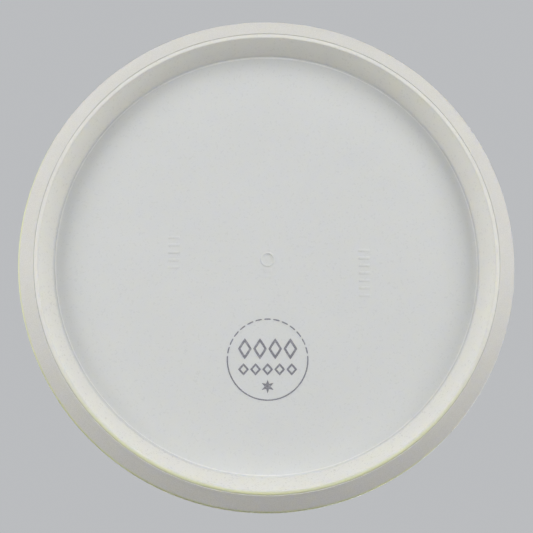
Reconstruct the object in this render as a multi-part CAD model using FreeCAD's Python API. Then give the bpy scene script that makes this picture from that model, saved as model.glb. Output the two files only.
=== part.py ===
import FreeCAD, Part
import math
import os

# Flying disc of the midrange disc-golf pattern: a thin, gently domed flight plate and a blunt,
# bevelled rim moulded together in one piece, with a foil emblem pressed onto the plate's underside.
#
# Frame: millimetres, +Z is the spin axis, the flight plate's top faces up, and the disc rests on
# the flat land under its rim at z = 0. The emblem lies towards -Y.

Vector = FreeCAD.Vector

# Rim
disc_radius = 108.5
nose_height = 6.4
nose_radius = 2.4
wing_inner_radius = 100.45
wing_inner_height = 0.10
witness_radius = 100.2
witness_depth = 0.25
land_outer_radius = 99.6
land_inner_radius = 98.4
land_outer_round = 1.0
land_inner_round = 0.6

# Inside of the rim, where the fingers grip
wall_top_radius = 94.75
wall_fillet = 0.45
crease_radius = 93.95
crease_half_width = 0.35
crease_height = 0.15

# Flight plate
underside_height = 15.0
underside_edge_radius = 93.5
underside_edge_height = 12.2
plate_thickness = 2.6
shoulder_start_radius = 88.0

# Gate mark in the middle of the underside
gate_crater_radius = 2.3
gate_bead_radius = 2.9
gate_outer_radius = 3.5
gate_bead_height = 0.25

# Raised bars on the underside, one group on each side of the middle
bar_height = 0.25
bar_width = 1.3
bar_length = 5.0
bar_pitch = 3.4
bar_embed = 0.6
left_bars = {"x": 42.0, "y": 3.0, "count": 5}
right_bars = {"x": -43.5, "y": -6.0, "count": 7}

# Foil emblem
foil_thickness = 0.12
foil_line = 0.55
emblem_y = -44.5
emblem_radius = 18.0
emblem_gap_count = 14
emblem_gap_width = 0.9
lozenge_rows = {
    "stamp_upper_lozenges": {"y": 4.6, "count": 4, "width": 6.0, "height": 9.2, "pitch": 6.7, "line": 0.95},
    "stamp_lower_lozenges": {"y": -4.4, "count": 5, "width": 4.7, "height": 5.3, "pitch": 5.3, "line": 0.8},
}
star_y = -11.8
star_outer = 3.0
star_inner = 1.3
star_points = 6

# The underside is part of a large sphere through its middle and its edge.
underside_drop = underside_height - underside_edge_height
dome_radius = (underside_edge_radius**2 + underside_drop**2) / (2 * underside_drop)
dome_centre_height = underside_height - dome_radius


def dome_height(radius, offset=0.0):
    """Height of the dome surface at a distance from the axis, offset outwards from the underside."""
    return dome_centre_height + math.sqrt((dome_radius + offset) ** 2 - radius**2)


def point(radius, height):
    return Vector(radius, 0, height)


def dome_point(radius, offset=0.0):
    return point(radius, dome_height(radius, offset))


def line(start, end):
    return Part.LineSegment(start, end).toShape()


def arc(start, middle, end):
    return Part.Arc(start, middle, end).toShape()


def circle_arc(centre, radius, start_angle, end_angle):
    """Arc in the XZ plane; the angles are in radians from +X towards +Z."""
    angles = (start_angle, (start_angle + end_angle) / 2, end_angle)
    return arc(*[centre + Vector(math.cos(a), 0, math.sin(a)) * radius for a in angles])


def corner_arc(before, corner, after, radius):
    """Arc of a radius that is tangent to the two lines which meet at a corner."""
    back = (before - corner).normalize()
    ahead = (after - corner).normalize()
    half_angle = back.getAngle(ahead) / 2
    reach = radius / math.tan(half_angle)
    bisector = (back + ahead).normalize()
    centre = corner + bisector * (radius / math.sin(half_angle))
    return arc(corner + back * reach, centre - bisector * radius, corner + ahead * reach)


def gate_edges():
    """A flat crater with a rounded bead round it, left where the plastic entered the mould."""
    crater_edge = dome_point(gate_crater_radius)
    bead = point(gate_bead_radius, dome_height(gate_bead_radius) - gate_bead_height)
    return [
        line(point(0, crater_edge.z), crater_edge),
        arc(crater_edge, bead, dome_point(gate_outer_radius)),
    ]


def underside_edges():
    """The domed underside, and the fine raised crease round its edge."""
    crease_start = dome_point(crease_radius - crease_half_width)
    crease_top = point(crease_radius, dome_height(crease_radius) - crease_height)
    crease_end = dome_point(crease_radius + crease_half_width)
    dome_middle = dome_point((gate_outer_radius + crease_start.x) / 2)
    return [
        arc(dome_point(gate_outer_radius), dome_middle, crease_start),
        arc(crease_start, crease_top, crease_end),
    ]


def rim_foot_edges():
    """The inner wall with its fillet, the flat land that the disc rests on, and the witness line."""
    crease_end = dome_point(crease_radius + crease_half_width)
    wall_top = dome_point(wall_top_radius)
    land_inner = point(land_inner_radius, 0)
    land_outer = point(land_outer_radius, 0)
    witness = point(witness_radius, witness_depth)
    wing_start = point(wing_inner_radius, wing_inner_height)
    arcs = [
        corner_arc(crease_end, wall_top, land_inner, wall_fillet),
        corner_arc(wall_top, land_inner, land_outer, land_inner_round),
        corner_arc(land_inner, land_outer, witness, land_outer_round),
    ]
    edges = []
    start = crease_end
    for corner in arcs:
        first, last = corner.Vertexes[0].Point, corner.Vertexes[-1].Point
        edges += [line(start, first), corner]
        start = last
    return edges + [line(start, witness), line(witness, wing_start)]


def nose_and_top_edges():
    """The bevelled wing, the blunt nose, the shoulder and the domed top, back to the axis."""
    wing_start = point(wing_inner_radius, wing_inner_height)
    nose_centre = point(disc_radius - nose_radius, nose_height)

    # The wing is straight and tangent to the nose.
    reach = nose_centre - wing_start
    wing_angle = math.atan2(reach.z, reach.x) - math.asin(nose_radius / reach.Length)
    nose_start_angle = wing_angle - math.pi / 2
    nose_start = nose_centre + point(math.cos(nose_start_angle), math.sin(nose_start_angle)) * nose_radius

    # The shoulder is one arc, tangent to the top of the plate and to the nose inside it.
    shoulder_start = dome_point(shoulder_start_radius, plate_thickness)
    inward = (point(0, dome_centre_height) - shoulder_start).normalize()
    to_nose = nose_centre - shoulder_start
    shoulder_radius = (to_nose.dot(to_nose) - nose_radius**2) / (2 * (to_nose.dot(inward) - nose_radius))
    shoulder_centre = shoulder_start + inward * shoulder_radius
    to_tangent = nose_centre - shoulder_centre
    nose_end_angle = math.atan2(to_tangent.z, to_tangent.x)
    shoulder_start_angle = math.atan2(-inward.z, -inward.x)

    top_middle = dome_point(shoulder_start_radius / 2, plate_thickness)
    top_centre = dome_point(0, plate_thickness)
    return [
        line(wing_start, nose_start),
        circle_arc(nose_centre, nose_radius, nose_start_angle, nose_end_angle),
        circle_arc(shoulder_centre, shoulder_radius, nose_end_angle, shoulder_start_angle),
        arc(shoulder_start, top_middle, top_centre),
        line(top_centre, point(0, dome_height(gate_crater_radius))),
    ]


def revolve(edges):
    """Closed outline in the XZ plane, turned about the spin axis."""
    outline = Part.Wire(Part.__sortEdges__(edges))
    return Part.Face(outline).revolve(Vector(0, 0, 0), Vector(0, 0, 1), 360)


def dome_sheet(lower_offset, upper_offset):
    """Sheet that follows the underside between two offsets, out to the crease."""
    edge = crease_radius - crease_half_width
    lower = [dome_point(radius, lower_offset) for radius in (0, edge / 2, edge)]
    upper = [dome_point(radius, upper_offset) for radius in (0, edge / 2, edge)]
    return revolve([arc(*lower), line(lower[-1], upper[-1]), arc(*upper), line(upper[0], lower[0])])


def prism(face):
    """The face, drawn at z = 0, pulled up through the whole disc."""
    return face.extrude(Vector(0, 0, underside_height + plate_thickness))


def raised_bars(group):
    """A column of short plain bars, each crosswise to the column."""
    sheet = dome_sheet(-bar_height, bar_embed)
    top = group["y"] + bar_pitch * (group["count"] - 1) / 2
    bars = []
    for index in range(group["count"]):
        low_corner = Vector(group["x"] - bar_length / 2, top - bar_pitch * index - bar_width / 2, 0)
        face = Part.makePlane(bar_length, bar_width, low_corner)
        bars.append(prism(face).common(sheet))
    return bars


def disc_body():
    body = revolve(gate_edges() + underside_edges() + rim_foot_edges() + nose_and_top_edges())
    return body.fuse(raised_bars(left_bars) + raised_bars(right_bars))


def polygon_face(corners):
    return Part.Face(Part.makePolygon(corners + corners[:1]))


def foil(faces):
    """Thin foil pressed onto the underside, in the outline of the faces."""
    sheet = dome_sheet(-foil_thickness, 0.0)
    return Part.makeCompound([solid for face in faces for solid in prism(face).common(sheet).Solids])


def stamp_ring():
    """Circle whose upper half is dashed by small gaps."""
    centre = Vector(0, emblem_y, 0)
    outer = Part.Face(Part.Wire(Part.makeCircle(emblem_radius, centre)))
    inner = Part.Face(Part.Wire(Part.makeCircle(emblem_radius - foil_line, centre)))
    ring = outer.cut(inner)
    gap_corner = Vector(emblem_radius - 2 * foil_line, emblem_y - emblem_gap_width / 2, 0)
    for index in range(emblem_gap_count):
        gap = Part.makePlane(3 * foil_line, emblem_gap_width, gap_corner)
        gap.rotate(centre, Vector(0, 0, 1), 180 * (index + 0.5) / emblem_gap_count)
        ring = ring.cut(gap)
    return foil(ring.Faces)


def lozenge(x, y, width, height, line_width):
    """Outline of an upright lozenge, equally wide all round."""
    side = math.hypot(width, height) / 2
    scale = 1 - line_width * side * 4 / (width * height)
    corners = [
        Vector(x + width / 2, y, 0),
        Vector(x, y + height / 2, 0),
        Vector(x - width / 2, y, 0),
        Vector(x, y - height / 2, 0),
    ]
    middle = Vector(x, y, 0)
    inner_corners = [middle + (corner - middle) * scale for corner in corners]
    return polygon_face(corners).cut(polygon_face(inner_corners))


def lozenge_row(row):
    first_x = -row["pitch"] * (row["count"] - 1) / 2
    centres = [first_x + row["pitch"] * index for index in range(row["count"])]
    size = (row["width"], row["height"], row["line"])
    return foil([lozenge(x, emblem_y + row["y"], *size) for x in centres])


def stamp_star():
    """Solid star with six points."""
    corners = []
    for index in range(2 * star_points):
        radius = star_inner if index % 2 else star_outer
        angle = math.pi / 2 + math.pi * index / star_points
        corners.append(Vector(radius * math.cos(angle), emblem_y + star_y + radius * math.sin(angle), 0))
    return foil([polygon_face(corners)])


def main():
    os.makedirs("parts", exist_ok=True)
    nodes = {
        "disc_body": disc_body(),
        "stamp_ring": stamp_ring(),
        "stamp_star": stamp_star(),
    }
    for name, row in lozenge_rows.items():
        nodes[name] = lozenge_row(row)
    for name, shape in nodes.items():
        shape.exportStep(f"parts/{name}.step")
        print(f"{name}: valid {shape.isValid()}, {len(shape.Solids)} solids, {shape.Volume / 1000:.2f} cm3")


main()
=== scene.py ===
import math

import bmesh
import bpy
from mathutils import Matrix, Vector, noise


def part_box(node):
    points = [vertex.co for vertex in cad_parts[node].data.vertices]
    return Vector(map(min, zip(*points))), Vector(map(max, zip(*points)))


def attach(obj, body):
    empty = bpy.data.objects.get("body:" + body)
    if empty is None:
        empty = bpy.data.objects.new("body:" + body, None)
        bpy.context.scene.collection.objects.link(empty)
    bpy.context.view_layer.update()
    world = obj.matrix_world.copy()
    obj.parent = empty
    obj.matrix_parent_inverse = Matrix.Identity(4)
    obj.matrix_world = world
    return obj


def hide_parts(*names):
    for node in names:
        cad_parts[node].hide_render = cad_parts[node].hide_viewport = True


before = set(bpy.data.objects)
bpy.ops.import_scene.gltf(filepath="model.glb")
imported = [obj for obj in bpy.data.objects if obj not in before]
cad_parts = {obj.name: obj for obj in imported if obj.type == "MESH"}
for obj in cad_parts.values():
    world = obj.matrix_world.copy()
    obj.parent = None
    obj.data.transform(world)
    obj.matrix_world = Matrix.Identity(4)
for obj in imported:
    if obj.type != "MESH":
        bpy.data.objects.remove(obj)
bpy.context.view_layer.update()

# ---------------------------------------------------------------------------------------------
# Sizes in millimetres. Geometry is worked out in millimetres and scaled once to metres.
# ---------------------------------------------------------------------------------------------
MM = 0.001
body_low, body_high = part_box("disc_body")
DISC_RADIUS = body_high.x / MM
DISC_HEIGHT = body_high.z / MM

# Rim
NOSE_HEIGHT = 6.4
NOSE_RADIUS = 2.4
WING_INNER = (100.45, 0.10)
WITNESS = (100.2, 0.25)
LAND_OUTER = (99.6, 0.0)
LAND_INNER = (98.4, 0.0)
LAND_OUTER_ROUND = 1.0
LAND_INNER_ROUND = 0.6
WALL_TOP_RADIUS = 94.75
WALL_FILLET = 0.45
CREASE_RADIUS = 93.95
CREASE_HALF_WIDTH = 0.35
CREASE_HEIGHT = 0.15

# Flight plate
PLATE_THICKNESS = 2.6
UNDERSIDE_HEIGHT = DISC_HEIGHT - PLATE_THICKNESS
UNDERSIDE_EDGE = (93.5, 12.2)
SHOULDER_START = 88.0

# Gate mark
GATE_CRATER = 2.3
GATE_BEAD = 2.9
GATE_OUTER = 3.5
GATE_BEAD_HEIGHT = 0.25
GATE_RING_RADIUS = 4.9
GATE_PAD = {"y": -4.9, "width": 3.6, "height": 1.8}
GATE_ARC = {"radius": 7.8, "half_angle": 0.55}
GATE_LIP = {"x": -1.9, "y": 2.3, "radius": 2.2}

# Raised bars
BAR_HEIGHT = 0.17
BAR_WIDTH = 1.3
BAR_LENGTH = 5.0
BAR_PITCH = 3.4
BAR_GROUPS = ({"x": 42.0, "y": 3.0, "count": 5}, {"x": -43.5, "y": -6.0, "count": 7})

# Foil emblem
EMBLEM_Y = -44.5
FOIL_LINE = 0.55
FOIL_SINK = -0.02
FOIL_STAND = 0.03
FOIL_RAGGED = 0.05
RING_RADIUS = 18.0 - FOIL_LINE / 2
EMBLEM_GAPS = 14
EMBLEM_GAP = 0.9
LOZENGE_ROWS = {
    "stamp_upper_lozenges": {"y": 4.6, "count": 4, "width": 6.0, "height": 9.2, "pitch": 6.7, "line": 0.95},
    "stamp_lower_lozenges": {"y": -4.4, "count": 5, "width": 4.7, "height": 5.3, "pitch": 5.3, "line": 0.8},
}
LOZENGE_POINTS = 96
LOZENGE_POWER = 1.06
STAR_Y = -11.8
STAR_OUTER = 3.0
STAR_INNER = 1.3
STAR_POINTS = 6
STAR_STEPS = 8

# Colours, linear
PLATE_UNDERSIDE_SHADED_COLOUR = (0.705, 0.717, 0.712, 1)
TOP_COLOUR = (0.80, 0.81, 0.80, 1)
RIM_COLOUR = (0.91, 0.902, 0.845, 1)
DEEP_WALL_SHADE_COLOUR = (0.87, 0.862, 0.81, 1)
CREASE_HIGHLIGHT_COLOUR = (0.93, 0.93, 0.92, 1)
LAND_SHADE_COLOUR = (0.78, 0.775, 0.74, 1)
WING_COLOUR = (0.81, 0.80, 0.765, 1)
LIME_COLOUR = (0.83, 0.87, 0.48, 1)
CLOUD_COLOUR = (0.80, 0.81, 0.80, 1)
GRAIN_COLOUR = (0.60, 0.595, 0.54, 1)
GROOVE_SHADE_COLOUR = (0.30, 0.29, 0.26, 1)
SPECK_COLOUR = (0.16, 0.14, 0.12, 1)
FOIL_COLOUR = (0.22, 0.22, 0.25, 1)
FOIL_WORN_COLOUR = (0.40, 0.40, 0.43, 1)
FLOOR_COLOUR = (0.77, 0.77, 0.77, 1)
FLOOR_PATCH_COLOUR = (0.70, 0.70, 0.70, 1)
FLOOR_SHADE_COLOUR = (0.30, 0.30, 0.31, 1)
FLOOR_HALF_SIZE = 4.0

# Height of the direction looked in, from -1 straight down to 1 straight up, and the brightness there
DOME_SHOWN = ((-0.06, 0.0), (-0.02, 0.58), (0.30, 0.70), (0.75, 0.505))
DOME_LIGHT = ((0.45, 0.0), (0.65, 0.65), (1.0, 0.72))
DOME_TINT = (0.98, 1.0, 1.03)

# Camera, metres and degrees
CAMERA_DISTANCE = 0.320
CAMERA_TILT = 9.17
CAMERA_SWING = 8.72
CAMERA_TARGET = (0.0008, -0.0053, 0.0)
CAMERA_LENS = 50.3

# Lights. Those below the floor face the underside and shine through it, because it is one-way.
UNDER_DISTANCE = 0.75
UNDER_SIZE = 0.35
# Azimuth from -X towards +Y and elevation below the floor, in degrees, then watts
UNDER_LIGHTS = {
    "under_front": (90, 88, 0.68),
    "under_right_low": (0, 15, 0.56),
    "under_left_low": (180, 15, 0.56),
    "under_bottom_low": (270, 15, 0.12),
    "under_right": (0, 40, 1.87),
    "under_left": (180, 40, 1.87),
    "under_top": (90, 40, 0.68),
    "under_top_right": (45, 40, 1.17),
    "under_top_left": (135, 40, 1.17),
}
# Lights above the floor that catch the nose: azimuth as above, and watts
EDGE_DISTANCE = 1.5
EDGE_SIZE = 0.7
EDGE_ELEVATION = -36
EDGE_LIGHTS = {
    "edge_right": (0, 1.3),
    "edge_left": (180, 1.3),
    "edge_top": (90, 1.1),
    "edge_bottom": (270, 1.6),
}
# Lights on the top: place, size and watts
OVER_LIGHTS = {
    "over_key": ((-2.2, -2.2, 3.6), 2.9, 84.0),
    "over_fill": ((3.4, 0.7, 3.6), 3.4, 30.0),
}

# Points round the mesh of revolution
SEGMENTS = 480
# The gate's relief lies within this radius.
GATE_REACH = 10.0

drop = UNDERSIDE_HEIGHT - UNDERSIDE_EDGE[1]
DOME_RADIUS = (UNDERSIDE_EDGE[0] ** 2 + drop**2) / (2 * drop)
DOME_CENTRE = UNDERSIDE_HEIGHT - DOME_RADIUS


def dome_height(radius, offset=0.0):
    return DOME_CENTRE + math.sqrt((DOME_RADIUS + offset) ** 2 - radius**2)


# ---------------------------------------------------------------------------------------------
# Outline of the moulding, as points in the (radius, height) plane
# ---------------------------------------------------------------------------------------------
def straight(start, end, steps):
    """Points from start up to, but not with, end."""
    start, end = Vector(start), Vector(end)
    return [start.lerp(end, i / steps) for i in range(steps)]


def bend(centre, radius, start_angle, end_angle, steps):
    """Points on an arc, without its last one."""
    angles = [start_angle + (end_angle - start_angle) * i / steps for i in range(steps)]
    return [Vector(centre) + Vector((math.cos(a), math.sin(a))) * radius for a in angles]


def dome_run(start, end, steps, offset=0.0):
    """Points on the domed underside, or on the top above it, without the last one."""
    radii = [start + (end - start) * i / steps for i in range(steps)]
    return [Vector((r, dome_height(r, offset))) for r in radii]


def bump_run(middle, half_width, height, steps):
    """A small rounded ridge on the underside, without its last point."""
    points = []
    for i in range(steps):
        along = -1 + 2 * i / steps
        radius = middle + half_width * along
        points.append(Vector((radius, dome_height(radius) - height * math.cos(along * math.pi / 2) ** 2)))
    return points


def rounded_corner(before, corner, after, radius, steps):
    """Points on the arc of that radius that touches both lines at a corner."""
    before, corner, after = Vector(before), Vector(corner), Vector(after)
    back = (before - corner).normalized()
    ahead = (after - corner).normalized()
    half = back.angle(ahead) / 2
    bisector = (back + ahead).normalized()
    centre = corner + bisector * (radius / math.sin(half))
    first = corner + back * (radius / math.tan(half)) - centre
    turn = math.pi - 2 * half
    sense = 1 if first.x * ahead.y - first.y * ahead.x > 0 else -1
    start_angle = math.atan2(first.y, first.x)
    return bend(centre, radius, start_angle, start_angle + sense * turn, steps) + [
        corner + ahead * (radius / math.tan(half))
    ]


def foot_outline():
    """Crease, inner wall, the flat land under the rim and the witness line beside it."""
    wall_top = (WALL_TOP_RADIUS, dome_height(WALL_TOP_RADIUS))
    crease_end = (CREASE_RADIUS + CREASE_HALF_WIDTH, dome_height(CREASE_RADIUS + CREASE_HALF_WIDTH))
    fillet = rounded_corner(crease_end, wall_top, LAND_INNER, WALL_FILLET, 6)
    inner = rounded_corner(wall_top, LAND_INNER, LAND_OUTER, LAND_INNER_ROUND, 8)
    outer = rounded_corner(LAND_INNER, LAND_OUTER, WITNESS, LAND_OUTER_ROUND, 6)
    points = bump_run(CREASE_RADIUS, CREASE_HALF_WIDTH, CREASE_HEIGHT, 8)
    points += [Vector(crease_end)] + fillet[:-1]
    points += straight(fillet[-1], inner[0], 8) + inner[:-1]
    points += straight(inner[-1], outer[0], 3) + outer[:-1]
    points += straight(outer[-1], WITNESS, 2) + straight(WITNESS, WING_INNER, 2)
    return points


def nose_outline():
    """Bevelled wing, blunt nose and shoulder."""
    wing = Vector(WING_INNER)
    nose = Vector((DISC_RADIUS - NOSE_RADIUS, NOSE_HEIGHT))
    reach = nose - wing
    wing_angle = math.atan2(reach.y, reach.x) - math.asin(NOSE_RADIUS / reach.length)
    nose_start = wing_angle - math.pi / 2
    touch = nose + Vector((math.cos(nose_start), math.sin(nose_start))) * NOSE_RADIUS

    shoulder = Vector((SHOULDER_START, dome_height(SHOULDER_START, PLATE_THICKNESS)))
    inward = (Vector((0, DOME_CENTRE)) - shoulder).normalized()
    to_nose = nose - shoulder
    radius = (to_nose.dot(to_nose) - NOSE_RADIUS**2) / (2 * (to_nose.dot(inward) - NOSE_RADIUS))
    centre = shoulder + inward * radius
    nose_end = math.atan2(nose.y - centre.y, nose.x - centre.x)
    shoulder_end = math.atan2(-inward.y, -inward.x)
    points = straight(wing, touch, 12)
    points += bend(nose, NOSE_RADIUS, nose_start, nose_end, 22)
    points += bend(centre, radius, nose_end, shoulder_end, 26)
    return points


def disc_outline():
    points = [Vector((0, dome_height(GATE_CRATER))), Vector((GATE_CRATER * 0.5, dome_height(GATE_CRATER)))]
    points += [Vector((GATE_CRATER, dome_height(GATE_CRATER)))]
    gate_middle = (GATE_CRATER + GATE_OUTER) / 2
    points += bump_run(gate_middle, GATE_OUTER - gate_middle, GATE_BEAD_HEIGHT, 8)[1:]
    points += dome_run(GATE_OUTER, GATE_REACH, 20)
    points += dome_run(GATE_REACH, CREASE_RADIUS - CREASE_HALF_WIDTH, 40)
    points += foot_outline() + nose_outline()
    points += dome_run(SHOULDER_START, 0.0, 30, PLATE_THICKNESS)
    points += [Vector((0, dome_height(0, PLATE_THICKNESS)))]
    return points


# ---------------------------------------------------------------------------------------------
# Meshes
# ---------------------------------------------------------------------------------------------
def smooth_step(edge, width, value):
    """1 where value is well below edge, 0 well above it, with a soft change over width."""
    t = min(max((edge - value) / width + 0.5, 0.0), 1.0)
    return t * t * (3 - 2 * t)


def gate_relief(x, y):
    """Height of the faint ring, pad and arc that the gate insert leaves round the gate."""
    radius = math.hypot(x, y)
    relief = 0.04 * smooth_step(GATE_RING_RADIUS, 0.5, radius)
    pad = smooth_step(GATE_PAD["width"] / 2, 0.5, abs(x)) * smooth_step(
        GATE_PAD["height"] / 2, 0.5, abs(y - GATE_PAD["y"])
    )
    off_centre = abs(math.atan2(x, -y))
    arc = smooth_step(0.4, 0.5, abs(radius - GATE_ARC["radius"])) * smooth_step(
        GATE_ARC["half_angle"], 0.2, off_centre
    )
    to_lip = math.hypot(x - GATE_LIP["x"], y - GATE_LIP["y"])
    lip = smooth_step(GATE_LIP["radius"], 1.5, to_lip) * smooth_step(0.35, 0.5, abs(radius - GATE_BEAD))
    return relief + 0.10 * pad + 0.08 * arc + 0.22 * lip


def lathe(outline):
    """Closed mesh of revolution in metres; the first and last outline points are on the axis."""
    mesh = bmesh.new()
    angles = [2 * math.pi * i / SEGMENTS for i in range(SEGMENTS)]
    turns = [(math.cos(angle), math.sin(angle)) for angle in angles]
    rings = []
    for index, (radius, height) in enumerate(outline):
        if radius == 0:
            rings.append([mesh.verts.new((0, 0, height * MM))])
            continue
        by_gate = index < len(outline) / 2 and radius < GATE_REACH
        ring = []
        for c, s in turns:
            x, y = radius * c, radius * s
            lift = gate_relief(x, y) if by_gate else 0.0
            ring.append(mesh.verts.new((x * MM, y * MM, (height - lift) * MM)))
        rings.append(ring)
    for lower, upper in zip(rings, rings[1:]):
        for i in range(SEGMENTS):
            j = (i + 1) % SEGMENTS
            corners = []
            near = (lower[i % len(lower)], lower[j % len(lower)])
            far = (upper[j % len(upper)], upper[i % len(upper)])
            for v in near + far:
                if v not in corners:
                    corners.append(v)
            mesh.faces.new(corners)
    bmesh.ops.recalc_face_normals(mesh, faces=mesh.faces)
    return mesh


def mesh_object(name, mesh):
    data = bpy.data.meshes.new(name)
    mesh.to_mesh(data)
    mesh.free()
    piece = bpy.data.objects.new(name, data)
    bpy.context.scene.collection.objects.link(piece)
    return piece


def bars_mesh():
    """The raised bars, each a small block with softened edges, sunk part-way into the plate."""
    mesh = bmesh.new()
    size = Matrix.Diagonal(Vector((BAR_LENGTH, BAR_WIDTH, 4 * BAR_HEIGHT)) * MM).to_4x4()
    for group in BAR_GROUPS:
        top = group["y"] + BAR_PITCH * (group["count"] - 1) / 2
        for index in range(group["count"]):
            y = top - BAR_PITCH * index
            height = dome_height(math.hypot(group["x"], y)) + BAR_HEIGHT
            place = Matrix.Translation(Vector((group["x"], y, height)) * MM)
            made = bmesh.ops.create_cube(mesh, size=1.0, matrix=place @ size)
            edges = {edge for vertex in made["verts"] for edge in vertex.link_edges}
            bmesh.ops.bevel(mesh, geom=list(edges), offset=0.1 * MM, segments=2, profile=0.5, affect="EDGES")
    return mesh


def smooth(piece, angle=35):
    piece.data.shade_smooth()
    piece.data.set_sharp_from_angle(angle=math.radians(angle))


def dress(piece, nodes, material):
    """Puts the piece on the disc's body in place of CAD nodes, with its finish."""
    piece.data.materials.clear()
    piece.data.materials.append(material)
    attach(piece, "root")
    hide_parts(nodes)


def make_disc(material):
    disc = mesh_object("disc_moulding", lathe(disc_outline()))
    bars = mesh_object("bars", bars_mesh())
    union = disc.modifiers.new("bars", "BOOLEAN")
    union.operation = "UNION"
    union.solver = "EXACT"
    union.object = bars
    graph = bpy.context.evaluated_depsgraph_get()
    joined = bpy.data.meshes.new_from_object(disc.evaluated_get(graph))
    disc.modifiers.remove(union)
    disc.data = joined
    bpy.data.objects.remove(bars)
    smooth(disc)
    dress(disc, "disc_body", material)


def wobble(x, y, size):
    """Repeatable unevenness of a pressed foil edge, in millimetres."""
    return size * noise.noise(Vector((x * 1.7, y * 1.7, 3.0)))


def foil_point(x, y, offset):
    """Point in metres on the underside, or below it by an offset in millimetres."""
    return Vector((x, y, dome_height(math.hypot(x, y), -offset))) * MM


def foil_film(mesh, left, right, closed):
    """A film between two edge lines of equally many points; its sides are a closed thin solid."""
    count = len(left)
    steps = range(count if closed else count - 1)
    layers = []
    for offset in (FOIL_SINK, FOIL_STAND):
        layers.append([[mesh.verts.new(foil_point(x, y, offset)) for x, y in side] for side in (left, right)])
    (base_left, base_right), (face_left, face_right) = layers
    for i in steps:
        j = (i + 1) % count
        mesh.faces.new((face_left[i], face_left[j], face_right[j], face_right[i]))
        mesh.faces.new((base_left[i], base_right[i], base_right[j], base_left[j]))
        mesh.faces.new((face_left[i], base_left[i], base_left[j], face_left[j]))
        mesh.faces.new((face_right[i], face_right[j], base_right[j], base_right[i]))
    if not closed:
        for i in (0, -1):
            mesh.faces.new((face_left[i], face_right[i], base_right[i], base_left[i]))


def arc_stroke(mesh, radius, start, end):
    """Stroke along an arc of the emblem's ring, with rounded ends."""
    count = max(8, int(abs(end - start) * radius / 0.35))
    left, right = [], []
    cap = FOIL_LINE / 2 / radius
    for i in range(count + 1):
        angle = start + (end - start) * i / count
        to_end = min(angle - start, end - angle) / cap
        half = FOIL_LINE / 2 * math.sqrt(max(1 - (1 - min(to_end, 1)) ** 2, 0.06))
        for side, sign in ((left, -1), (right, 1)):
            x, y = math.cos(angle) * radius, EMBLEM_Y + math.sin(angle) * radius
            reach = radius + sign * half + wobble(x + 9 * sign, y, FOIL_RAGGED)
            side.append((math.cos(angle) * reach, EMBLEM_Y + math.sin(angle) * reach))
    foil_film(mesh, left, right, closed=False)


def ring_mesh():
    """Circle whose upper half is dashed."""
    mesh = bmesh.new()
    gap = EMBLEM_GAP / RING_RADIUS
    middles = [math.pi * (i + 0.5) / EMBLEM_GAPS for i in range(EMBLEM_GAPS)]
    for first, second in zip(middles, middles[1:]):
        arc_stroke(mesh, RING_RADIUS, first + gap / 2, second - gap / 2)
    arc_stroke(mesh, RING_RADIUS, middles[-1] + gap / 2, middles[0] - gap / 2 + 2 * math.pi)
    return mesh


def lozenge_row_mesh(row):
    """Lozenge outlines side by side, each with slightly rounded corners."""
    mesh = bmesh.new()
    side = math.hypot(row["width"], row["height"]) / 2
    thin = 1 - row["line"] * side * 4 / (row["width"] * row["height"])
    for index in range(row["count"]):
        centre_x = row["pitch"] * (index - (row["count"] - 1) / 2)
        outer, inner = [], []
        for i in range(LOZENGE_POINTS):
            angle = 2 * math.pi * i / LOZENGE_POINTS
            c, s = math.cos(angle), math.sin(angle)
            spread = (abs(c) ** LOZENGE_POWER + abs(s) ** LOZENGE_POWER) ** (-1 / LOZENGE_POWER)
            x, y = row["width"] / 2 * c * spread, row["height"] / 2 * s * spread
            for edge, scale, seed in ((outer, 1.0, 0.0), (inner, thin, 5.0)):
                ragged = 1 + wobble(centre_x + x + seed, y + row["y"], FOIL_RAGGED) / side
                edge.append((centre_x + x * scale * ragged, EMBLEM_Y + row["y"] + y * scale * ragged))
        foil_film(mesh, outer, inner, closed=True)
    return mesh


def star_mesh():
    """Solid six-pointed star, filled as a fan about its middle."""
    mesh = bmesh.new()
    rim = []
    for index in range(2 * STAR_POINTS * STAR_STEPS):
        corner, part = divmod(index, STAR_STEPS)
        ends = []
        for k in (corner, corner + 1):
            radius = STAR_INNER if k % 2 else STAR_OUTER
            angle = math.pi / 2 + math.pi * k / STAR_POINTS
            ends.append(Vector((math.cos(angle), math.sin(angle))) * radius)
        spot = ends[0].lerp(ends[1], part / STAR_STEPS)
        rim.append(spot * (1 + wobble(spot.x * 2, spot.y * 2, FOIL_RAGGED) / STAR_OUTER))
    layers = []
    for offset in (FOIL_SINK, FOIL_STAND):
        ring = [mesh.verts.new(foil_point(p.x, EMBLEM_Y + STAR_Y + p.y, offset)) for p in rim]
        layers.append((mesh.verts.new(foil_point(0, EMBLEM_Y + STAR_Y, offset)), ring))
    (base_hub, base), (face_hub, face) = layers
    for i in range(len(rim)):
        j = (i + 1) % len(rim)
        mesh.faces.new((face_hub, face[i], face[j]))
        mesh.faces.new((base_hub, base[j], base[i]))
        mesh.faces.new((face[i], base[i], base[j], face[j]))
    return mesh


def make_foil(name, mesh, material):
    bmesh.ops.recalc_face_normals(mesh, faces=mesh.faces)
    piece = mesh_object(name + "_foil", mesh)
    smooth(piece)
    dress(piece, name, material)


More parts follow.
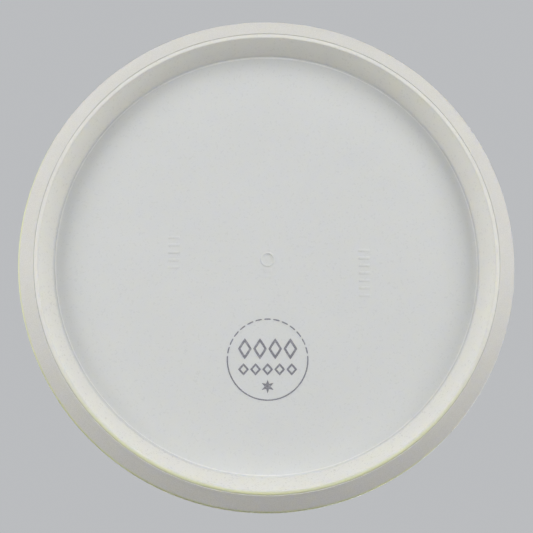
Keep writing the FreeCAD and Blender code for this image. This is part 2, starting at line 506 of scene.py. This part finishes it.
# ---------------------------------------------------------------------------------------------
# Materials
# ---------------------------------------------------------------------------------------------
class Nodes:
    """Short calls for building a material's node tree."""

    def __init__(self, name):
        self.material = bpy.data.materials.new(name)
        self.material.use_nodes = True
        self.tree = self.material.node_tree
        self.shader = self.tree.nodes["Principled BSDF"]
        self.output = self.tree.nodes["Material Output"]
        self.place = self.tree.nodes.new("ShaderNodeTexCoord").outputs["Object"]

    def put(self, socket, value):
        if isinstance(value, bpy.types.NodeSocket):
            self.tree.links.new(value, socket)
        else:
            socket.default_value = value

    def math(self, operation, a, b=0.0, clamp=False):
        node = self.tree.nodes.new("ShaderNodeMath")
        node.operation = operation
        node.use_clamp = clamp
        self.put(node.inputs[0], a)
        self.put(node.inputs[1], b)
        return node.outputs[0]

    def ramp(self, value, low, high, to_low=0.0, to_high=1.0):
        """Smooth change from to_low to to_high as value goes from low to high."""
        node = self.tree.nodes.new("ShaderNodeMapRange")
        node.interpolation_type = "SMOOTHSTEP"
        self.put(node.inputs["Value"], value)
        for name, number in (("From Min", low), ("From Max", high), ("To Min", to_low), ("To Max", to_high)):
            node.inputs[name].default_value = number
        return node.outputs["Result"]

    def mix(self, factor, a, b):
        node = self.tree.nodes.new("ShaderNodeMix")
        node.data_type = "RGBA"
        self.put(node.inputs[0], factor)
        self.put(node.inputs[6], a)
        self.put(node.inputs[7], b)
        return node.outputs[2]

    def noise(self, scale, detail=2.0, roughness=0.5, vector=None):
        node = self.tree.nodes.new("ShaderNodeTexNoise")
        node.inputs["Scale"].default_value = scale
        node.inputs["Detail"].default_value = detail
        node.inputs["Roughness"].default_value = roughness
        self.put(node.inputs["Vector"], vector or self.place)
        return node.outputs["Fac"]

    def specks(self, scale, share, size):
        """1 inside small round specks that sit in a share of the cells, 0 elsewhere."""
        node = self.tree.nodes.new("ShaderNodeTexVoronoi")
        node.inputs["Scale"].default_value = scale
        self.put(node.inputs["Vector"], self.place)
        colour = self.tree.nodes.new("ShaderNodeSeparateColor")
        self.put(colour.inputs[0], node.outputs["Color"])
        chosen = self.math("LESS_THAN", colour.outputs[0], share)
        dot = self.ramp(node.outputs["Distance"], size * 0.6, size, 1.0, 0.0)
        return self.math("MULTIPLY", chosen, dot)

    def split(self, vector):
        node = self.tree.nodes.new("ShaderNodeSeparateXYZ")
        self.put(node.inputs[0], vector)
        return node.outputs

    def join(self, x, y, z):
        node = self.tree.nodes.new("ShaderNodeCombineXYZ")
        for socket, value in zip(node.inputs, (x, y, z)):
            self.put(socket, value)
        return node.outputs[0]

    def bump(self, height, strength, distance, normal=None):
        node = self.tree.nodes.new("ShaderNodeBump")
        node.inputs["Strength"].default_value = strength
        node.inputs["Distance"].default_value = distance
        self.put(node.inputs["Height"], height)
        if normal is not None:
            self.put(node.inputs["Normal"], normal)
        return node.outputs[0]


def plastic_material():
    """Translucent white moulded plastic: cool where the plate is thin, warm where the rim is thick, with
    painted shade on the plate's underside, the deep wall, the land and the witness groove, and a painted
    highlight along the crease.
    """
    n = Nodes("translucent_white_plastic")
    x, y, z = n.split(n.place)
    radius = n.math("SQRT", n.math("ADD", n.math("MULTIPLY", x, x), n.math("MULTIPLY", y, y)))
    azimuth = n.math("ARCTAN2", y, x)

    # Painted shade: the inner wall is painted darker deeper into the cavity, towards the plate.
    rim = n.mix(n.ramp(z, 0.002, 0.011), RIM_COLOUR, DEEP_WALL_SHADE_COLOUR)
    # Height with the dome's curve taken out: the underside is at its middle's height all over.
    dip = n.math("MULTIPLY", n.math("MULTIPLY", radius, radius), 0.5 / (DOME_RADIUS * MM))
    flat = n.math("ADD", z, dip)
    middle = (UNDERSIDE_HEIGHT + PLATE_THICKNESS / 2) * MM
    above = n.ramp(flat, middle - 0.0004, middle + 0.0004)
    below = n.ramp(flat, middle - 0.0004, middle + 0.0004, 1.0, 0.0)
    thick_above = n.math("MULTIPLY", above, n.ramp(radius, 0.084, 0.101))
    thick_below = n.math("MULTIPLY", below, n.ramp(radius, 0.0943, 0.0953))
    thick = n.math("ADD", thick_above, thick_below)
    # The plate's underside is partly the thin plastic's cooler tint and partly painted shade: it is painted
    # darker than the top, for light lost through the thin plate.
    colour = n.mix(thick, n.mix(above, PLATE_UNDERSIDE_SHADED_COLOUR, TOP_COLOUR), rim)
    # Painted highlight: a thin lighter line painted along the crease.
    to_crease = n.math("ABSOLUTE", n.math("SUBTRACT", radius, CREASE_RADIUS * MM))
    crease_highlight = n.ramp(to_crease, 0.0001, 0.0004, 0.5, 0.0)
    crease_highlight = n.math("MULTIPLY", crease_highlight, n.ramp(z, 0.013, 0.014, 1.0, 0.0))
    colour = n.mix(crease_highlight, colour, CREASE_HIGHLIGHT_COLOUR)

    cloud = n.noise(38.0, 3.0, 0.55)
    stretched = n.join(n.math("MULTIPLY", azimuth, 9.0), n.math("MULTIPLY", radius, 45.0), 0.0)
    flow = n.noise(1.0, 3.0, 0.6, stretched)
    mottle = n.math("ADD", n.math("MULTIPLY", cloud, 0.6), n.math("MULTIPLY", flow, 0.4))
    colour = n.mix(n.ramp(mottle, 0.35, 0.65, 0.0, 0.10), colour, CLOUD_COLOUR)

    wing = n.math("MULTIPLY", n.ramp(radius, 0.1001, 0.1005), n.ramp(z, 0.0058, 0.0064, 1.0, 0.0))
    grain = n.noise(2600.0, 2.0, 0.6)
    colour = n.mix(wing, colour, WING_COLOUR)
    grain_tint = n.math("MULTIPLY", wing, n.ramp(grain, 0.36, 0.60, 0.30, 0.0))
    colour = n.mix(grain_tint, colour, GRAIN_COLOUR)

    # Painted shade: the land under the rim is painted darker, for the shading of its rounded edges.
    land = n.math("MULTIPLY", n.ramp(radius, 0.0980, 0.0986), n.ramp(z, 0.0004, 0.0009, 1.0, 0.0))
    colour = n.mix(land, colour, LAND_SHADE_COLOUR)
    # A faint lime cast where light leaves the thick plastic at the nose and the foot, on one side.
    nose = n.ramp(radius, 0.1070, 0.1083)
    foot = n.math("MULTIPLY", n.ramp(radius, 0.0984, 0.0996), n.ramp(radius, 0.1001, 0.1004, 1.0, 0.0))
    foot = n.math("MULTIPLY", foot, n.ramp(z, 0.0005, 0.0015, 1.0, 0.0))
    across = n.math("SUBTRACT", n.math("MULTIPLY", x, 0.6), n.math("MULTIPLY", y, 0.8))
    nose_side = n.ramp(across, 0.0, 0.055)
    foot_side = n.ramp(n.math("MULTIPLY", y, -1.0), 0.03, 0.09)
    foot_lime = n.math("MULTIPLY", n.math("MULTIPLY", foot, foot_side), 0.6)
    lime = n.math("MAXIMUM", n.math("MULTIPLY", nose, nose_side), foot_lime)
    lime = n.math("MULTIPLY", lime, n.ramp(z, 0.0060, 0.0072, 1.0, 0.0))
    colour = n.mix(lime, colour, LIME_COLOUR)

    # Painted shade: a dark line painted along the witness groove, where shade falls.
    to_witness = n.math("ABSOLUTE", n.math("SUBTRACT", radius, WITNESS[0] * MM))
    groove_shade = n.ramp(to_witness, 0.00005, 0.0003, 0.5, 0.0)
    low = n.ramp(z, 0.0002, 0.0008, 1.0, 0.0)
    colour = n.mix(n.math("MULTIPLY", groove_shade, low), colour, GROOVE_SHADE_COLOUR)
    colour = n.mix(n.math("MULTIPLY", n.specks(95.0, 0.02, 0.03), 0.55), colour, SPECK_COLOUR)
    n.put(n.shader.inputs["Base Color"], colour)

    # Rougher, textured wing; the land is scuffed where the disc rests.
    fine = n.noise(900.0, 4.0, 0.6)
    rough = n.math("ADD", 0.31, n.math("MULTIPLY", wing, 0.20))
    rough = n.math("ADD", rough, n.ramp(fine, 0.3, 0.7, -0.05, 0.06))
    n.put(n.shader.inputs["Roughness"], rough)

    skin = n.bump(n.noise(420.0, 3.0, 0.5), 0.10, 0.0002)
    around = n.join(n.math("MULTIPLY", azimuth, 14.0), n.math("MULTIPLY", radius, 9000.0), z)
    scuffs = n.noise(1.0, 4.0, 0.7, around)
    skin = n.bump(n.math("MULTIPLY", scuffs, n.ramp(z, 0.0003, 0.001, 1.0, 0.0)), 0.25, 0.0001, skin)
    skin = n.bump(n.math("MULTIPLY", grain, wing), 0.45, 0.0002, skin)
    n.put(n.shader.inputs["Normal"], skin)

    n.shader.subsurface_method = "RANDOM_WALK"
    n.shader.inputs["Subsurface Weight"].default_value = 1.0
    n.shader.inputs["Subsurface Radius"].default_value = (1.0, 0.95, 0.75)
    n.shader.inputs["Subsurface Scale"].default_value = 0.0007
    n.shader.inputs["IOR"].default_value = 1.49
    return n.material


def foil_material():
    """Silver-grey hot-stamp foil with a brushed sheen and tiny pinholes."""
    n = Nodes("silver_stamp_foil")
    worn = n.ramp(n.noise(700.0, 4.0, 0.6), 0.36, 0.5, 1.0, 0.0)
    pinholes = n.ramp(n.noise(4200.0, 2.0, 0.5), 0.3, 0.38, 1.0, 0.0)
    colour = n.mix(n.math("MULTIPLY", worn, 0.5), FOIL_COLOUR, FOIL_WORN_COLOUR)
    n.put(n.shader.inputs["Base Color"], n.mix(n.math("MULTIPLY", pinholes, 0.7), colour, PLATE_UNDERSIDE_SHADED_COLOUR))
    n.put(n.shader.inputs["Metallic"], n.ramp(pinholes, 0.0, 1.0, 0.75, 0.0))
    n.put(n.shader.inputs["Roughness"], n.ramp(n.noise(1500.0, 3.0), 0.3, 0.7, 0.30, 0.48))
    n.put(n.shader.inputs["Normal"], n.bump(n.noise(1800.0, 3.0), 0.2, 0.0001))
    return n.material


def floor_material():
    """Pale matt floor that is only there when seen from above."""
    n = Nodes("pale_floor")
    x, y, _ = n.split(n.place)
    radius = n.math("SQRT", n.math("ADD", n.math("MULTIPLY", x, x), n.math("MULTIPLY", y, y)))
    tone = n.ramp(n.noise(5.0, 3.0), 0.3, 0.7, 0.0, 0.04)
    colour = n.mix(tone, FLOOR_COLOUR, FLOOR_PATCH_COLOUR)
    # The lights below wash out part of the disc's contact shadow, so the floor is darker round it.
    near = n.ramp(radius, 0.104, 0.145, 0.5, 0.0)
    n.put(n.shader.inputs["Base Color"], n.mix(near, colour, FLOOR_SHADE_COLOUR))
    n.shader.inputs["Roughness"].default_value = 0.85
    side = n.tree.nodes.new("ShaderNodeNewGeometry").outputs["Backfacing"]
    clear = n.tree.nodes.new("ShaderNodeBsdfTransparent")
    either = n.tree.nodes.new("ShaderNodeMixShader")
    n.put(either.inputs[0], side)
    n.put(either.inputs[1], n.shader.outputs[0])
    n.put(either.inputs[2], clear.outputs[0])
    n.put(n.output.inputs["Surface"], either.outputs[0])
    return n.material


# ---------------------------------------------------------------------------------------------
# Stage, light and camera
# ---------------------------------------------------------------------------------------------
def make_floor():
    mesh = bmesh.new()
    bmesh.ops.create_grid(mesh, x_segments=2, y_segments=2, size=FLOOR_HALF_SIZE)
    floor = mesh_object("floor", mesh)
    floor.data.materials.append(floor_material())
    floor.visible_shadow = False
    floor.visible_diffuse = False
    floor.visible_glossy = False
    floor.visible_transmission = False


def dome_ramp(tree, stops):
    """Brightness by the height of the direction looked in."""
    height = tree.nodes.new("ShaderNodeSeparateXYZ")
    tree.links.new(tree.nodes.new("ShaderNodeTexCoord").outputs["Generated"], height.inputs[0])
    shift = tree.nodes.new("ShaderNodeMapRange")
    shift.inputs["From Min"].default_value = -1.0
    tree.links.new(height.outputs["Z"], shift.inputs["Value"])
    ramp = tree.nodes.new("ShaderNodeValToRGB")
    tree.links.new(shift.outputs["Result"], ramp.inputs["Fac"])
    ramp.color_ramp.interpolation = "EASE"
    while len(ramp.color_ramp.elements) < len(stops):
        ramp.color_ramp.elements.new(0.5)
    # From the last stop down, so that no element passes another and changes their order.
    for element, (level, brightness) in reversed(list(zip(ramp.color_ramp.elements, stops))):
        element.position = (level + 1) / 2
        element.color = [brightness * part for part in DOME_TINT] + [1]
    return ramp.outputs["Color"]


def make_world():
    """Pale dome above the floor. Only its upper part lights the disc, so the rim keeps its shading."""
    world = bpy.data.worlds.new("studio")
    world.use_nodes = True
    tree = world.node_tree
    path = tree.nodes.new("ShaderNodeLightPath")
    either = tree.nodes.new("ShaderNodeMix")
    either.data_type = "RGBA"
    tree.links.new(path.outputs["Is Camera Ray"], either.inputs[0])
    tree.links.new(dome_ramp(tree, DOME_LIGHT), either.inputs[6])
    tree.links.new(dome_ramp(tree, DOME_SHOWN), either.inputs[7])
    tree.links.new(either.outputs[2], tree.nodes["Background"].inputs["Color"])
    bpy.context.scene.world = world


def direction(azimuth, elevation):
    """Unit vector away from the disc, from degrees of azimuth and of elevation below the floor."""
    turn, rise = math.radians(azimuth), math.radians(elevation)
    return Vector((-math.cos(turn) * math.cos(rise), math.sin(turn) * math.cos(rise), -math.sin(rise)))


def make_light(name, place, size, power):
    """Square soft white light aimed at the disc."""
    data = bpy.data.lights.new(name, "AREA")
    data.size = size
    data.energy = power
    light = bpy.data.objects.new(name, data)
    light.location = place
    light.rotation_mode = "QUATERNION"
    light.rotation_quaternion = (-Vector(place)).to_track_quat("-Z", "Y")
    light.visible_camera = False
    bpy.context.scene.collection.objects.link(light)


def make_camera():
    """Looks at the underside from a little below the spin axis, as a person holds it up to look."""
    data = bpy.data.cameras.new("camera")
    data.sensor_width = 36.0
    data.lens = CAMERA_LENS
    data.clip_start, data.clip_end = 0.01, 20.0
    camera = bpy.data.objects.new("camera", data)
    tilt, swing = math.radians(CAMERA_TILT), math.radians(CAMERA_SWING)
    away = Vector((math.sin(tilt) * math.sin(swing), -math.sin(tilt) * math.cos(swing), -math.cos(tilt)))
    place = away * CAMERA_DISTANCE
    ahead = (Vector(CAMERA_TARGET) - place).normalized()
    right = ahead.cross(Vector((0, 1, 0))).normalized()
    up = right.cross(ahead)
    camera.matrix_world = Matrix.Translation(place) @ Matrix((right, up, -ahead)).transposed().to_4x4()
    bpy.context.scene.collection.objects.link(camera)
    bpy.context.scene.camera = camera


def main():
    plastic = plastic_material()
    foil = foil_material()
    make_disc(plastic)
    make_foil("stamp_ring", ring_mesh(), foil)
    for name, row in LOZENGE_ROWS.items():
        make_foil(name, lozenge_row_mesh(row), foil)
    make_foil("stamp_star", star_mesh(), foil)
    make_floor()
    make_world()
    for name, (azimuth, elevation, power) in UNDER_LIGHTS.items():
        make_light(name, direction(azimuth, elevation) * UNDER_DISTANCE, UNDER_SIZE, power)
    for name, (azimuth, power) in EDGE_LIGHTS.items():
        make_light(name, direction(azimuth, EDGE_ELEVATION) * EDGE_DISTANCE, EDGE_SIZE, power)
    for name, (place, size, power) in OVER_LIGHTS.items():
        make_light(name, place, size, power)
    make_camera()
    view = bpy.context.scene.view_settings
    view.view_transform = "Standard"
    view.look = "None"


main()
